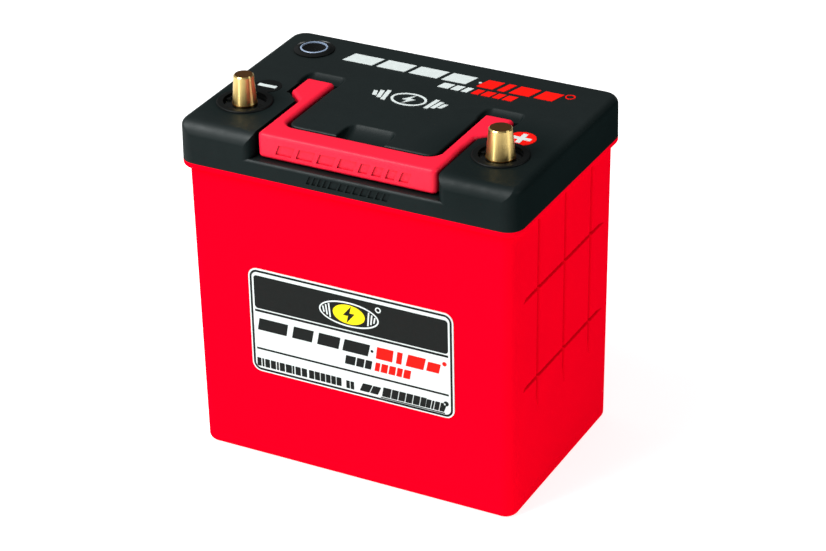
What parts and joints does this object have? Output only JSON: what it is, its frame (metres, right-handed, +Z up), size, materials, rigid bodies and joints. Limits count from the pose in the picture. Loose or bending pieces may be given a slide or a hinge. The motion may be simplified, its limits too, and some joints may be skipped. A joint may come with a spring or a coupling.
{
  "type": "starter battery",
  "caption": "Boxy starter battery: red tapered case, black cover, fold-up carrying handle, two tapered brass posts and a round push button.",
  "frame": {"origin": "middle of the underside, on the plane the battery stands on", "axes": "+Z up, +X towards the positive post's end, +Y towards the back, so the handle's grip and the front label face -Y"},
  "size_m": [0.187, 0.125, 0.201],
  "materials": {
    "case_red": "satin moulded",
    "cover_black": "fine grained",
    "handle_red": "satin moulded",
    "brass": "turned",
    "gloss_black": "polished",
    "cap_black": "satin",
    "light_ring": "frosted",
    "steel": "zinc plated",
    "rubber_black": "matt",
    "mark_white": "printed",
    "mark_red": "printed",
    "mark_black": "printed",
    "label_white": "printed film",
    "cell_can": "blue film wrap",
    "terminal_aluminium": "machined",
    "copper": "bare strip",
    "pad_grey": "closed-cell pad",
    "band_yellow": "woven tape",
    "tray_grey": "moulded",
    "board_green": "solder mask",
    "part_black": "moulded package",
    "sink_aluminium": "anodised",
    "socket_white": "moulded",
    "lead_red": "wire sleeve",
    "lead_blue": "wire sleeve"
  },
  "bodies": {
    "battery": {"case": "case_red", "cover": "cover_black", "cover_seal": "rubber_black", "handle_pins": "steel", "negative_post": "brass", "positive_post": "brass", "negative_post_collar": "gloss_black", "positive_post_collar": "gloss_black", "collar_screws": "steel", "post_o_rings": "rubber_black", "post_washers": "steel", "post_nuts": "steel", "negative_disc": "mark_black", "negative_sign": "mark_white", "positive_disc": "mark_red", "positive_sign": "mark_white", "front_label": "label_white", "top_emblem": "mark_white", "top_bars_white": "mark_white", "top_bars_red": "mark_red", "button_bezel": "gloss_black", "button_light_ring": "light_ring", "button_spring": "steel", "button_barrel": "gloss_black", "button_nut": "steel", "button_seal": "rubber_black", "cell_1": "cell_can", "cell_2": "cell_can", "cell_3": "cell_can", "cell_4": "cell_can", "cell_spacers": "pad_grey", "cell_terminals": "terminal_aluminium", "cell_terminal_nuts": "steel", "busbars": "copper", "cell_bands": "band_yellow", "base_pad": "pad_grey", "end_pads": "pad_grey", "cell_tray": "tray_grey", "bms_board": "board_green", "bms_standoffs": "steel", "bms_screws": "steel", "bms_transistors": "part_black", "bms_heat_sink": "sink_aluminium", "sense_sockets": "socket_white", "sense_leads": "lead_red", "button_socket": "socket_white", "button_leads": "lead_blue", "positive_strap": "copper", "negative_strap": "copper", "bms_input_strap": "copper"},
    "handle": {"carry_handle": "handle_red"},
    "button": {"button_cap": "cap_black"}
  },
  "joints": [
    {"name": "handle_hinge", "type": "hinge", "parent": "battery", "child": "handle", "pos_m": [0, 0.001, 0.1805], "axis": [-1, 0, 0], "range_deg": [0, 90]},
    {"name": "button_press", "type": "slide", "parent": "battery", "child": "button", "axis": [0, 0, -1], "range_m": [0, 0.0015], "stiffness_N_per_m": 300, "springref_m": -0.002, "deforming": ["button_spring"]}
  ]
}
